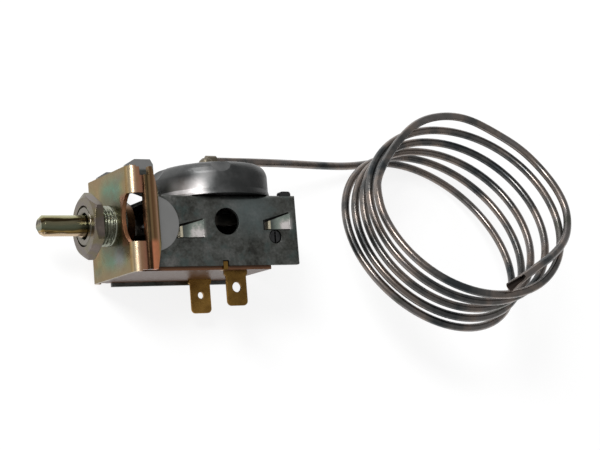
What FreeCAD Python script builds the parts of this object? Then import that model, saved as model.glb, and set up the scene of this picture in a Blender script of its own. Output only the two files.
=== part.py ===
import FreeCAD, Part
import math
import os

# Capillary thermostat with a folded front bracket, a threaded bush, a pressed case, a round
# diaphragm cup, two blade terminals and one metre of coiled capillary.
# Units are millimetres. The origin is on the spindle axis, on the front face of the bracket.
# The spindle points along -X, the diaphragm cup along +Y and the terminals along -Y.
# The part lies on its far side, so +Z is the side face that carries the two lanced tongues.

V = FreeCAD.Vector
X_AXIS = V(1, 0, 0)
Y_AXIS = V(0, 1, 0)
Z_AXIS = V(0, 0, 1)

# Clearances
slip_gap = 0.05        # sheet lying inside sheet, and pins in their holes
work_gap = 0.3         # between pieces that move past each other
over = 1.0             # how far a cutting solid runs past the face that it opens
across = 40.0          # longer than the part is wide, for cuts that go right across it
coil_across = 200.0    # longer than the coil, for the cut along the floor

# Case
case_sheet = 1.0
case_half_width = 13.3
case_front = 5.2
case_web_front = 8.8
case_rear = 51.6
case_top = 6.6
case_bottom = -13.0
case_far_skirt = 2.1
case_far_relief = 3.0
case_bend = 1.5
case_corner = 1.2
rear_wall_height = 15.0
case_inner_half = case_half_width - case_sheet
web_under = case_top - case_sheet

# Lugs turned up from the web, seen above the bracket
lug_inset = 3.3
lug_half_width = case_half_width - lug_inset
lug_front = 1.4
lug_rear = 9.6
lug_foot_rear = 12.0
lug_foot_height = 1.6
lug_top = 16.7
lug_front_slope = (2.8, 1.6)
lug_rear_slope = (0.8, 1.4)

# Bracket
bracket_sheet = 1.1
plate_half_height = 14.2
ear_half_height = 13.8
ear_length = 4.1
band_length = 4.2
band_step = 0.55
band_taper = 1.8
band_straight = 6.6
bracket_bend = 2.4
window_top = 6.8
window_bottom = -6.2
window_notch = 5.6
ear_slot_front = 3.35
ear_slot_width = 2.5
ear_slot_depth = 2.3
bracket_inner_half = case_half_width + slip_gap
bracket_half_width = bracket_inner_half + bracket_sheet
band_half_width = bracket_half_width + band_step
band_end = ear_length + band_length

# Threaded bush, nut and spindle
bush_radius = 5.555
bush_length = 7.5
bush_chamfer = 0.55
bush_mouth_radius = 3.6
bush_mouth_depth = 3.0
bush_flange_radius = 7.0
bush_flange_thickness = 1.4
nut_across_flats = 15.9
nut_thickness = 2.7
nut_face_radius = 7.7
nut_back_radius = 8.7
spindle_radius = 3.0
spindle_reach = 20.2
spindle_chamfer = 0.9
flat_length = 12.0
flat_across = 4.5
flat_turn = 222.0
ring_radius = 4.7
ring_thickness = 0.4
ring_clearance = 0.15

# Range cam, a plate cam whose rim rises evenly over the spindle's turn
cam_low = 5.4
cam_rise = 1.0
cam_travel = 270.0
cam_margin = 12.0
cam_thickness = 2.2
cam_rim_points = 24
bush_flange_rear = bracket_sheet + bush_flange_thickness
ring_front = bush_flange_rear + ring_clearance
cam_front = ring_front + ring_thickness
cam_rear = cam_front + cam_thickness
cam_middle = (cam_front + cam_rear) / 2

# Diaphragm cup and what it holds
cup_centre_x = 31.0
cup_radius = 17.0
cup_height = 10.3
cup_flare = 0.3
cup_flare_height = 0.5
cup_flare_fade = 1.2
cup_shoulder = 3.4
cup_crown_radius = 8.0
cup_crown_slope = 11.0
cup_sheet = 0.8
flute_count = 5
flute_first = 41.0
flute_radius = 5.5
flute_depth = 0.9
flute_backing = 1.2
flute_half_length = 9.0
element_base_thickness = 1.0
diaphragm_rise = 2.1
diaphragm_thickness = 0.3
diaphragm_wave = 0.5
diaphragm_wave_half = 1.0
diaphragm_wave_radii = (8.0, 11.6)
pin_head_radius = 6.0
pin_head_thickness = 0.8
pin_lift = 0.65
thrust_pin_radius = 2.2
web_hole_radius = 9.0
ferrule_radius = 2.6
ferrule_height = 2.4
ferrule_wall = 0.45
cup_foot = case_top
cup_top = cup_foot + cup_height
cup_wall_radius = cup_radius - cup_flare
cup_inner_radius = cup_wall_radius - cup_sheet
element_base_top = cup_foot + element_base_thickness
floor_height = -cup_radius

# Capillary: a lead from the cup, a coil that leans on the floor, and a free end laid on its last turn
capillary_radius = 1.2
capillary_rise = 0.35
lead_height = cup_top + capillary_radius + capillary_rise
lead_points = [
    (33.8, lead_height, 0.0),
    (46.0, lead_height, 0.0),
    (60.0, 18.9, -3.2),
    (74.0, 19.5, -8.2),
    (87.0, 20.2, -12.0),
]
coil_stations = [
    {"turn": 0.0, "centre": (104.0, -6.0, -1.0), "radius": 31.5, "lean": (8.0, 27.0)},
    {"turn": 2.4, "centre": (105.5, -2.0, 9.5), "radius": 28.5, "lean": (-2.0, 24.0)},
    {"turn": 4.8, "centre": (107.0, 3.0, 21.0), "radius": 31.0, "lean": (-4.0, 26.0)},
]
free_end_points = [
    (77.0, 8.0, 16.0),
    (80.0, 12.5, 13.0),
    (84.5, 17.5, 10.5),
    (91.5, 24.5, 8.5),
    (99.5, 30.5, 8.0),
    (108.5, 32.5, 8.5),
    (117.0, 31.5, 9.5),
    (125.0, 27.0, 11.5),
    (132.0, 21.5, 14.5),
    (137.0, 15.0, 17.0),
    (139.5, 7.5, 21.0),
    (139.5, 0.0, 24.5),
    (135.0, -8.0, 28.5),
    (127.0, -13.5, 32.0),
    (116.5, -18.0, 35.5),
    (106.0, -23.5, 36.0),
]

# Terminal base and terminals
base_bottom = -14.0
base_floor = 2.5
base_rear = 42.4
base_wall = 1.4
base_wall_height = 2.8
base_front = bracket_sheet + slip_gap
base_inside = base_bottom + base_floor
base_half_width = case_inner_half - slip_gap
blade_width = 6.3
blade_sheet = 0.8
blade_tip = -23.7
blade_corner = 1.3
blade_edge = 0.2
blade_shoulder = 0.35
blade_shoulder_height = 1.0
blade_shoulder_slope = 0.4
blade_hole_drop = 4.6
stem_inset = 1.0
far_blade_inset = 4.8
near_blade_inset = 3.3
far_blade = {"x": 30.4, "z": far_blade_inset - case_half_width, "hole": 0.95}
near_blade = {"x": 32.2, "z": case_half_width - near_blade_inset, "hole": 1.4}
hook_width = 1.3
hook_offset = 1.8
hook_height = 2.2
hook_inset = 0.3
hook_top = base_bottom + hook_height
hook_outside = case_half_width - hook_inset

# Levers
lever_pin_radius = 1.0
main_pivot = (12.5, 0.4)
main_lever_top = 2.2
main_lever_sheet = 1.0
main_lever_room = 6.3
main_lever_half_width = case_inner_half - main_lever_room
main_lever_flange = 3.0
main_lever_slope = 6.0
main_lever_end = 40.6
main_lever_ear = 2.2
range_pivot = (10.8, -7.5)
range_lever_room = 7.3
range_lever_half_width = case_inner_half - range_lever_room
range_lever_sheet = 1.0
range_lever_end = 25.0
range_lever_seat = 1.2
range_arm_half_width = 2.5
nose_radius = 1.0
spring_x = 20.5
spring_wire = 0.9
spring_share = 0.6      # of the room between the cheeks of the main lever
spring_radius = spring_share * (main_lever_half_width - main_lever_sheet)
spring_turns = 5
spring_seat_height = 0.6

# Contact arm
arm_pivot_x = 14.5
arm_tail = 1.8
arm_end = 40.4
arm_z = far_blade["z"]
arm_half_width = 2.2
arm_sheet = 0.6
arm_top = -5.7
arm_corner = 1.6
rib_radius = 0.6
rib_height = 0.35
rib_before = 10.0
rib_behind = 2.0
contact_radius = 1.7
contact_height = 0.8
contact_gap = 0.6
anvil_radius = 2.1
anvil_thickness = 0.8
anvil_stem_half_width = 1.6
pusher_x = 38.0
pusher_half_length = 1.4
pusher_bar_height = 1.6
strap_sheet = 0.6
strap_edge = 0.6
strap_width = 5.0
strap_near_z = near_blade["z"] + strap_edge
post_half_length = 1.4
post_ridge_height = 1.0
post_ridge_flat = 0.2
post_rock_gap = 0.06

# Rear block and trim screw
block_front = 41.2
block_far_front = 45.2
block_screw_wall = 1.5
nub_front = 47.0
nub_rear = 50.4
nub_width = 1.9
nub_top = 7.8
nub_round = 0.8
trim_x = 43.95
trim_y = -5.1
trim_radius = 1.85
trim_length = 8.0
trim_slot = 0.55
trim_slot_depth = 0.9
trim_sink = 0.2
trim_hole_gap = 0.12
trim_face = case_half_width - trim_sink
trim_back = trim_face - trim_length
block_step_z = trim_back - block_screw_wall

# Details pressed into the side face
large_hole_x = 29.1
large_hole_y = -0.8
large_hole_radius = 3.75
boss_x = 6.9
boss_y = -1.3
boss_radius = 7.6
boss_height = 0.12
tongue_gap = 0.3
tongue_mouth = 1.6
tongue_dip = 1.0
tongue_lip_height = 1.0
tongue_lip_thickness = 0.7
tongues = [
    {"x": 14.8, "y": -5.1, "length": 7.0, "free": 2.9, "root": 4.8},
    {"x": 42.0, "y": -3.0, "length": 6.8, "free": 2.2, "root": 4.5},
]


def block(x0, x1, y0, y1, z0, z1):
    return Part.makeBox(x1 - x0, y1 - y0, z1 - z0, V(x0, y0, z0))


def rod(radius, start, end):
    a = V(*start)
    b = V(*end)
    return Part.makeCylinder(radius, (b - a).Length, a, b - a)


def cross_rod(radius, x, y, half=across):
    return rod(radius, (x, y, -half), (x, y, half))


def plate_xy(points, z0, z1):
    corners = [V(x, y, z0) for x, y in points]
    face = Part.Face(Part.makePolygon(corners + corners[:1]))
    return face.extrude(V(0, 0, z1 - z0))


def revolve_about_y(profile, x):
    corners = [V(x + r, y, 0) for r, y in profile]
    face = Part.Face(Part.makePolygon(corners + corners[:1]))
    return face.revolve(V(x, 0, 0), Y_AXIS, 360)


def both_sides(shape):
    return shape.fuse(shape.mirror(V(0, 0, 0), Z_AXIS))


def edges_along(shape, direction, keep):
    found = []
    for edge in shape.Edges:
        a = edge.Vertexes[0].Point
        b = edge.Vertexes[-1].Point
        run = b - a
        if run.Length > 1e-6 and abs(abs(run.normalize().dot(direction)) - 1) < 1e-6:
            if keep((a + b) / 2):
                found.append(edge)
    return found


def edges_before(shape, x):
    return [edge for edge in shape.Edges if edge.BoundBox.XMax < x + 0.01]


def save(shape, node):
    shape = shape.removeSplitter()
    if len(shape.Solids) != 1 or not shape.isValid():
        print("check", node, "solids", len(shape.Solids), "valid", shape.isValid())
    shape.exportStep("parts/" + node + ".step")


# Bracket


def bracket_shell():
    """The folded sheet: front plate, two ears and a raised band at the end of each ear."""
    h = plate_half_height
    outer = block(0, band_end, -h, h, -bracket_half_width, bracket_half_width)
    outer = outer.makeFillet(bracket_bend, edges_along(outer, Y_AXIS, lambda m: m.x < bracket_sheet))
    inner = block(bracket_sheet, band_end + over, -h, h, -bracket_inner_half, bracket_inner_half)
    inner_bend = bracket_bend - bracket_sheet
    inner = inner.makeFillet(inner_bend, edges_along(inner, Y_AXIS, lambda m: m.x < 2 * bracket_sheet))
    band = block(ear_length, band_end, -h, h, -band_half_width, band_half_width)
    band = band.makeFillet(band_step, edges_along(band, Y_AXIS, lambda m: abs(m.z) > bracket_half_width))
    return outer.fuse(band).cut(inner)


def bracket_window():
    """The opening in one ear, which runs round the bend and into the plate as a hollow notch."""
    middle = (window_top + window_bottom) / 2
    half = (window_top - window_bottom) / 2
    inside = bracket_inner_half - over
    edge = band_half_width + over
    ear = block(-over, ear_length, window_bottom, window_top, inside, edge)
    deep = bracket_half_width - window_notch
    notch_radius = (half * half + (inside - deep) ** 2) / (2 * (inside - deep))
    axis_z = deep + notch_radius
    hollow = rod(notch_radius, (-over, middle, axis_z), (bracket_sheet + over, middle, axis_z))
    hollow = hollow.common(block(-over, bracket_sheet + over, window_bottom, window_top, deep - over, edge))
    return ear.fuse(hollow)


def bracket_trim():
    """Cuts that shorten one ear, slot its upper corner and taper both ends of its band."""
    low = bracket_inner_half - over / 2
    high = band_half_width + over
    cuts = None
    for way in (1, -1):
        end = sorted((way * ear_half_height, way * (plate_half_height + over)))
        short = block(bracket_bend, band_end + over, *end, low, high)
        taper = plate_xy([
            (band_end, way * band_straight),
            (band_end - band_taper, way * (plate_half_height + over)),
            (band_end + over, way * (plate_half_height + over)),
            (band_end + over, way * band_straight),
        ], low, high)
        cuts = short.fuse(taper) if cuts is None else cuts.fuse(short).fuse(taper)
    slot_bottom = ear_half_height - ear_slot_depth
    slot_rear = ear_slot_front + ear_slot_width
    return cuts.fuse(block(ear_slot_front, slot_rear, slot_bottom, plate_half_height, low, high))


def mounting_bracket():
    shell = bracket_shell().cut(both_sides(bracket_window())).cut(both_sides(bracket_trim()))
    return shell.cut(rod(bush_radius + slip_gap, (-over, 0, 0), (bracket_sheet + over, 0, 0)))


# Bush, nut, spindle and cam


def threaded_bush():
    body = rod(bush_radius, (-bush_length, 0, 0), (bracket_sheet, 0, 0))
    body = body.makeChamfer(bush_chamfer, edges_before(body, -bush_length))
    flange = rod(bush_flange_radius, (bracket_sheet, 0, 0), (bush_flange_rear, 0, 0))
    bore = rod(spindle_radius + slip_gap, (-bush_length - over, 0, 0), (bush_flange_rear + over, 0, 0))
    mouth = rod(bush_mouth_radius, (-bush_length - over, 0, 0), (-bush_length + bush_mouth_depth, 0, 0))
    return body.fuse(flange).cut(bore).cut(mouth)


def panel_nut():
    """Hexagon nut, level with the end of the bush, with both faces turned down at the corners."""
    front = -bush_length
    rear = front + nut_thickness
    corner = nut_across_flats / 2 / math.cos(math.radians(30))
    turns = [math.radians(60 * i) for i in range(6)]
    ring = [V(front, corner * math.cos(a), corner * math.sin(a)) for a in turns]
    prism = Part.Face(Part.makePolygon(ring + ring[:1])).extrude(V(nut_thickness, 0, 0))
    slope = math.tan(math.radians(30))
    profile = [
        (0, front), (nut_face_radius, front), (corner, front + (corner - nut_face_radius) * slope),
        (corner, rear - (corner - nut_back_radius) * slope), (nut_back_radius, rear), (0, rear),
    ]
    face = Part.Face(Part.makePolygon([V(x, r, 0) for r, x in profile + profile[:1]]))
    turned = face.revolve(V(0, 0, 0), X_AXIS, 360)
    return prism.common(turned).cut(rod(bush_radius + slip_gap, (front - over, 0, 0), (rear + over, 0, 0)))


def spindle():
    shaft = rod(spindle_radius, (-spindle_reach, 0, 0), (cam_rear, 0, 0))
    shaft = shaft.makeChamfer(spindle_chamfer, edges_before(shaft, -spindle_reach))
    depth = flat_across - spindle_radius
    wide = spindle_radius + over
    off = block(-spindle_reach - over, -spindle_reach + flat_length, depth, wide, -wide, wide)
    off.rotate(V(0, 0, 0), X_AXIS, flat_turn)
    return shaft.cut(off)


def retaining_ring():
    ring = rod(ring_radius, (ring_front, 0, 0), (cam_front, 0, 0))
    return ring.cut(rod(spindle_radius, (0, 0, 0), (cam_rear, 0, 0)))


def cam_radius(turned):
    """Rim radius at an angle behind the follower, which presses on the rim from -Y."""
    return cam_low + cam_rise * turned / cam_travel


def range_cam():
    points = []
    first = -cam_margin
    last = cam_travel + cam_margin
    for i in range(cam_rim_points + 1):
        turned = first + (last - first) * i / cam_rim_points
        angle = math.radians(180 - turned)
        r = cam_radius(turned)
        points.append(V(cam_front, r * math.cos(angle), r * math.sin(angle)))
    rim = Part.BSplineCurve()
    rim.interpolate(points)
    drop = Part.LineSegment(points[-1], points[0])
    face = Part.Face(Part.Wire([rim.toShape(), drop.toShape()]))
    disc = face.extrude(V(cam_thickness, 0, 0))
    return disc.cut(rod(spindle_radius, (0, 0, 0), (cam_rear + over, 0, 0)))


# Case


def case_channel():
    """The folded channel behind the bracket: two sides, the web under the cup and the rear wall."""
    w, i = case_half_width, case_inner_half
    outer = block(case_web_front, case_rear, case_bottom, case_top, -w, w)
    folds = edges_along(outer, X_AXIS, lambda m: m.y > case_top - case_sheet)
    folds += edges_along(outer, Y_AXIS, lambda m: m.x > case_rear - case_sheet)
    outer = outer.makeFillet(case_bend, folds)
    inner = block(case_web_front - over, case_rear - case_sheet, case_bottom - over, web_under, -i, i)
    wall_foot = case_top - rear_wall_height
    low_rear = block(case_rear - case_bend, case_rear + over, case_bottom - over, wall_foot, -i, i)
    return outer.cut(inner).cut(low_rear)


def side_fronts():
    """The part of both sides that reaches forward under the bands of the bracket."""
    rear = case_web_front + over
    return both_sides(block(case_front, rear, case_bottom, case_top, case_inner_half, case_half_width))


def far_skirt():
    """Lower edge of the far side, which covers the side of the terminal base."""
    low = case_bottom - case_far_skirt
    return block(case_front, base_rear, low, case_bottom + over, -case_half_width, -case_inner_half)


def far_relief():
    """Cut-out at the lower rear corner of the far side, behind the terminal base."""
    high = case_bottom + case_far_relief
    inside = -case_inner_half + slip_gap
    return block(base_rear, case_rear + over, case_bottom - over, high, -case_half_width - over, inside)


def lug():
    """Upright tab turned up from one edge of the web, which reaches forward between the ears."""
    front_run, front_drop = lug_front_slope
    rear_run, rear_drop = lug_rear_slope
    foot = case_top + lug_foot_height
    outline = [
        (lug_front, foot), (case_web_front, web_under), (lug_foot_rear, web_under), (lug_foot_rear, case_top),
        (lug_rear, foot), (lug_rear, lug_top - rear_drop), (lug_rear - rear_run, lug_top),
        (lug_front + front_run, lug_top), (lug_front, lug_top - front_drop),
    ]
    return plate_xy(outline, lug_half_width - case_sheet, lug_half_width)


def corner_clip():
    """Rounds the lower rear corner of both sides."""
    r = case_corner
    square = block(case_rear - r, case_rear + over, case_bottom - over, case_bottom + r, -across, across)
    return square.cut(cross_rod(r, case_rear - r, case_bottom + r))


def tongue_window(t):
    """Window lanced round one tongue, open at its free end and along both long sides."""
    g = tongue_gap
    x0 = t["x"] - tongue_mouth
    x1 = t["x"] + t["length"]
    outline = [
        (x0, t["y"] - g), (x1, t["y"] - g), (x1, t["y"] + t["root"] + g), (x0, t["y"] + t["free"] + g),
    ]
    return plate_xy(outline, case_inner_half - over, case_half_width + over)


def tongue_body(t):
    """The tongue itself, level at its root and pressed inward, with a lip turned out at its free end."""
    top = case_half_width
    low = top - tongue_dip
    x0 = t["x"]
    x1 = t["x"] + t["length"] + case_sheet / 5
    side = [V(x0, t["y"], low), V(x1, t["y"], top), V(x1, t["y"], top - case_sheet), V(x0, t["y"], low - case_sheet)]
    slab = Part.Face(Part.makePolygon(side + side[:1])).extrude(V(0, t["root"], 0))
    lip_top = low + tongue_lip_height
    lip = block(x0, x0 + tongue_lip_thickness, t["y"], t["y"] + t["root"], low - case_sheet / 2, lip_top)
    plan = [(x0, t["y"]), (x1, t["y"]), (x1, t["y"] + t["root"]), (x0, t["y"] + t["free"])]
    return slab.fuse(lip).common(plate_xy(plan, low - 2 * case_sheet, top + over))


def hook_place():
    """Front and rear of the hook of the near terminal, along X."""
    front = near_blade["x"] - blade_width / 2 - hook_offset
    return front, front + hook_width


def case_frame():
    i, w = case_inner_half, case_half_width
    frame = case_channel().fuse(side_fronts()).fuse(far_skirt()).fuse(both_sides(lug()))
    frame = frame.cut(far_relief()).cut(corner_clip())
    frame = frame.cut(rod(web_hole_radius, (cup_centre_x, 0, 0), (cup_centre_x, case_top + over, 0)))
    frame = frame.cut(rod(large_hole_radius, (large_hole_x, large_hole_y, 0), (large_hole_x, large_hole_y, w + over)))
    frame = frame.cut(rod(trim_radius + trim_hole_gap, (trim_x, trim_y, 0), (trim_x, trim_y, w + over)))
    nub_z = i - nub_width - slip_gap
    frame = frame.cut(block(nub_front - slip_gap, nub_rear + slip_gap, web_under - over, case_top + over, nub_z, i))
    for t in tongues:
        frame = frame.cut(tongue_window(t)).fuse(tongue_body(t))
    boss = rod(boss_radius, (boss_x, boss_y, w - case_sheet / 2), (boss_x, boss_y, w + boss_height))
    frame = frame.fuse(boss.common(block(band_end + slip_gap, case_rear, -across, case_top - case_bend, 0, across)))
    front, rear = hook_place()
    high = hook_top + work_gap
    return frame.cut(block(front - work_gap, rear + work_gap, case_bottom - over, high, i - over, w + over))


# Diaphragm cup


def shoulder_centre(radius, top, shoulder):
    """Centre of the shoulder's arc, set so that the arc runs on into the sloping crown."""
    slope = math.radians(cup_crown_slope)
    r = radius - shoulder
    arc_end = r + shoulder * math.sin(slope)
    return r, top - (arc_end - cup_crown_radius) * math.tan(slope) - shoulder * math.cos(slope)


def cup_profile(radius, top, foot, shoulder):
    r, y = shoulder_centre(radius, top, shoulder)
    steps = 8
    points = [(0, foot), (radius, foot)]
    for k in range(steps + 1):
        a = math.radians((90 - cup_crown_slope) * k / steps)
        points.append((r + shoulder * math.cos(a), y + shoulder * math.sin(a)))
    return points + [(cup_crown_radius, top), (0, top)]


def cup_flute(turn):
    """Round groove pressed across the shoulder, from the crown down to the wall."""
    lean = math.sqrt(0.5)
    r, y = shoulder_centre(cup_wall_radius, cup_top, cup_shoulder)
    out = (cup_shoulder + flute_radius - flute_depth) * lean
    reach = flute_half_length * lean
    groove = rod(flute_radius, (r + out - reach, y + out + reach, 0), (r + out + reach, y + out - reach, 0))
    groove.rotate(V(0, 0, 0), Y_AXIS, turn)
    groove.translate(V(cup_centre_x, 0, 0))
    return groove


def diaphragm_cup():
    rim_top = cup_foot + cup_flare_height
    rim = [(0, cup_foot), (cup_radius, cup_foot), (cup_radius, rim_top), (cup_wall_radius, rim_top + cup_flare_fade),
           (0, rim_top + cup_flare_fade)]
    outer = revolve_about_y(cup_profile(cup_wall_radius, cup_top, cup_foot, cup_shoulder), cup_centre_x)
    outer = outer.fuse(revolve_about_y(rim, cup_centre_x))
    inner_shoulder = cup_shoulder + flute_backing
    inner = revolve_about_y(cup_profile(cup_inner_radius, cup_top - cup_sheet, cup_foot - over, inner_shoulder),
                            cup_centre_x)
    cup = outer.cut(inner)
    for k in range(flute_count):
        cup = cup.cut(cup_flute(flute_first + 360.0 * k / flute_count))
    return cup


def capillary_ferrule():
    """Braze fillet on the crown of the cup, from which the capillary leaves along +X."""
    r = ferrule_radius
    top = cup_top + ferrule_height
    profile = [(0, cup_top), (r, cup_top), (r, cup_top + 0.2 * ferrule_height), (0.73 * r, top - 0.25 * ferrule_height),
               (0.46 * r, top), (0, top)]
    body = revolve_about_y(profile, cup_centre_x)
    x, y, z = lead_points[0]
    sleeve = rod(capillary_radius + ferrule_wall, (cup_centre_x, y, z), (x, y, z))
    below = block(cup_centre_x - across, cup_centre_x + across, 0, cup_top, -across, across)
    return body.fuse(sleeve).cut(below)


def element_base():
    disc = rod(cup_inner_radius - slip_gap, (cup_centre_x, cup_foot, 0), (cup_centre_x, element_base_top, 0))
    return disc.cut(rod(thrust_pin_radius + slip_gap, (cup_centre_x, 0, 0), (cup_centre_x, cup_top, 0)))


def diaphragm():
    """A thin corrugated disc with two rings pressed upward."""
    y = element_base_top + diaphragm_rise
    line = [(0, y)]
    for r in diaphragm_wave_radii:
        line += [(r - diaphragm_wave_half, y), (r, y + diaphragm_wave), (r + diaphragm_wave_half, y)]
    line.append((cup_inner_radius - slip_gap, y))
    profile = line + [(r, h + diaphragm_thickness) for r, h in reversed(line)]
    return revolve_about_y(profile, cup_centre_x)


def thrust_pin():
    foot = main_lever_top + work_gap
    head = element_base_top + pin_lift
    stem = rod(thrust_pin_radius, (cup_centre_x, foot, 0), (cup_centre_x, head, 0))
    return stem.fuse(rod(pin_head_radius, (cup_centre_x, head, 0), (cup_centre_x, head + pin_head_thickness, 0)))


# Capillary


def rounded_path(points):
    """Straight runs joined by tangent arcs, each as large as its two runs allow."""
    pts = [V(*p) for p in points]
    edges = []
    radii = []
    here = pts[0]
    for a, b, c in zip(pts, pts[1:], pts[2:]):
        before = (a - b)
        after = (c - b)
        reach = 0.45 * min(before.Length, after.Length)
        before.normalize()
        after.normalize()
        half_turn = (math.pi - before.getAngle(after)) / 2
        radius = reach / math.tan(half_turn)
        start = b + before * reach
        end = b + after * reach
        inward = (before + after).normalize()
        middle = b + inward * (radius / math.cos(half_turn) - radius)
        edges.append(Part.LineSegment(here, start).toShape())
        edges.append(Part.Arc(start, middle, end).toShape())
        radii.append(round(radius, 1))
        here = end
    edges.append(Part.LineSegment(here, pts[-1]).toShape())
    print("bend radii", radii)
    return Part.Wire(edges)


def capillary_tube(points, name):
    path = rounded_path(points)
    start = V(*points[0])
    ring = Part.Wire(Part.makeCircle(capillary_radius, start, V(*points[1]) - start))
    tube = path.makePipeShell([ring], True, False)
    section = math.pi * capillary_radius ** 2
    print(name, "length", round(path.Length, 1), "volume over section", round(tube.Volume / section, 1))
    return tube


def lean_normal(lean):
    nx = math.sin(math.radians(lean[0]))
    ny = math.sin(math.radians(lean[1]))
    return V(nx, ny, math.sqrt(1 - nx * nx - ny * ny))


def capillary_coil():
    """Outer shape of the open turns: a leaning ring as thick as the tube, flat where it meets the floor."""
    places = []
    for station in coil_stations:
        normal = lean_normal(station["lean"])
        shift = capillary_radius * (station["turn"] == coil_stations[-1]["turn"])
        shift -= capillary_radius * (station["turn"] == 0)
        places.append((V(*station["centre"]) + normal * shift, normal, station["radius"]))

    def skin(extra):
        circles = [Part.Wire(Part.makeCircle(radius + extra, centre, normal)) for centre, normal, radius in places]
        return Part.makeLoft(circles, True, True)

    low = floor_height - coil_across
    below = block(-coil_across, coil_across, -coil_across, coil_across, low, floor_height)
    return skin(capillary_radius).cut(skin(-capillary_radius)).cut(below)


# Terminals and contacts


def hook_arm(gap=0.0):
    """Arm of the near terminal that runs sideways inside the floor of the base to the hook."""
    front, rear = hook_place()
    z = near_blade["z"]
    t = blade_sheet / 2 + gap
    reach = near_blade["x"] - blade_width / 2 + stem_inset
    top = base_bottom + blade_sheet + gap
    along = block(front - gap, reach + gap, base_bottom - gap, top, z - t, z + t)
    return along.fuse(block(front - gap, rear + gap, base_bottom - gap, top, z - t, hook_outside + gap))


def terminal_base():
    i = base_half_width
    rim = base_inside + base_wall_height
    tray = block(base_front, base_rear, base_bottom, rim, -i, i)
    hollow = block(base_front + base_wall, base_rear - base_wall, base_inside, rim + over, -i + base_wall, i - base_wall)
    base = tray.cut(hollow).cut(hook_arm(slip_gap))
    for b in (far_blade, near_blade):
        base = base.cut(blade_stem(b, slip_gap))
    return base


def blade_stem(b, gap=0.0):
    half = blade_width / 2 - stem_inset + gap
    t = blade_sheet / 2 + gap
    return block(b["x"] - half, b["x"] + half, base_bottom - over, base_inside + gap, b["z"] - t, b["z"] + t)


def blade(b):
    """Tab terminal with shoulders against the base, round corners, thinned edges and a locking hole."""
    half = blade_width / 2
    t = blade_sheet / 2
    s = half + blade_shoulder
    low = base_bottom - blade_shoulder_height
    neck = low - blade_shoulder_slope
    x = b["x"]
    outline = [(x - s, base_bottom), (x - s, low), (x - half, neck), (x - half, blade_tip), (x + half, blade_tip),
               (x + half, neck), (x + s, low), (x + s, base_bottom)]
    body = plate_xy(outline, b["z"] - t, b["z"] + t)
    body = body.makeFillet(blade_corner, edges_along(body, Z_AXIS, lambda m: m.y < blade_tip + blade_corner))
    thin = edges_along(body, X_AXIS, lambda m: m.y < blade_tip + blade_corner)
    body = body.makeChamfer(blade_edge, thin)
    hole_y = base_bottom - blade_hole_drop
    hole = rod(b["hole"], (x, hole_y, b["z"] - over), (x, hole_y, b["z"] + over))
    return body.cut(hole).fuse(blade_stem(b))


def fixed_contact_top():
    return arm_top - arm_sheet - contact_height - contact_gap


def terminal_far():
    """Blade, stem and the small anvil that carries the fixed contact."""
    b = far_blade
    top = fixed_contact_top() - contact_height
    t = blade_sheet / 2
    half = anvil_stem_half_width
    stem = block(b["x"] - half, b["x"] + half, base_inside - blade_sheet, top, b["z"] - t, b["z"] + t)
    anvil = rod(anvil_radius, (b["x"], top - anvil_thickness, b["z"]), (b["x"], top, b["z"]))
    return blade(b).fuse(stem).fuse(anvil)


def fixed_contact():
    top = fixed_contact_top()
    x, z = far_blade["x"], far_blade["z"]
    return rod(contact_radius, (x, top - contact_height, z), (x, top, z))


def terminal_near():
    """Blade and stem, with a small hook turned up in a slot of the lower edge of the case."""
    front, rear = hook_place()
    hook = block(front, rear, base_bottom, hook_top, hook_outside - blade_sheet + 2 * slip_gap, hook_outside)
    return blade(near_blade).fuse(hook_arm()).fuse(hook)


def contact_strap():
    """Brass strap on the base floor that joins the near terminal to the post of the contact arm."""
    top = base_inside + strap_sheet
    post_front = arm_pivot_x - post_half_length
    post_rear = arm_pivot_x + post_half_length
    run_rear = near_blade["x"] + blade_width / 2 - stem_inset
    run = block(post_front, run_rear, base_inside, top, strap_near_z - strap_width, strap_near_z)
    back = block(post_front, post_rear, base_inside, top, arm_z - arm_half_width, strap_near_z)
    return run.fuse(back)


def arm_post():
    low = base_inside + strap_sheet
    ridge_top = arm_top - arm_sheet - post_rock_gap
    ridge_foot = ridge_top - post_ridge_height
    x0, x1 = arm_pivot_x - post_half_length, arm_pivot_x + post_half_length
    z0, z1 = arm_z - arm_half_width, arm_z + arm_half_width
    outline = [(x0, low), (x1, low), (x1, ridge_foot), (arm_pivot_x + post_ridge_flat, ridge_top),
               (arm_pivot_x - post_ridge_flat, ridge_top), (x0, ridge_foot)]
    return plate_xy(outline, z0, z1)


def contact_arm():
    """Spring leaf that rocks on the ridge of its post, with a rib pressed along its free end."""
    z0, z1 = arm_z - arm_half_width, arm_z + arm_half_width
    leaf = block(arm_pivot_x - arm_tail, arm_end, arm_top - arm_sheet, arm_top, z0, z1)
    leaf = leaf.makeFillet(arm_corner, edges_along(leaf, Y_AXIS, lambda m: m.x > arm_end - arm_corner))
    contact_x = far_blade["x"]
    rib = rod(rib_radius, (contact_x - rib_before, arm_top, arm_z), (contact_x + rib_behind, arm_top, arm_z))
    return leaf.fuse(rib.common(block(0, arm_end, arm_top - arm_sheet / 2, arm_top + rib_height, z0, z1)))


def moving_contact():
    x, z = far_blade["x"], far_blade["z"]
    top = arm_top - arm_sheet
    return rod(contact_radius, (x, top - contact_height, z), (x, top, z))


# Levers and spring


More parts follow.
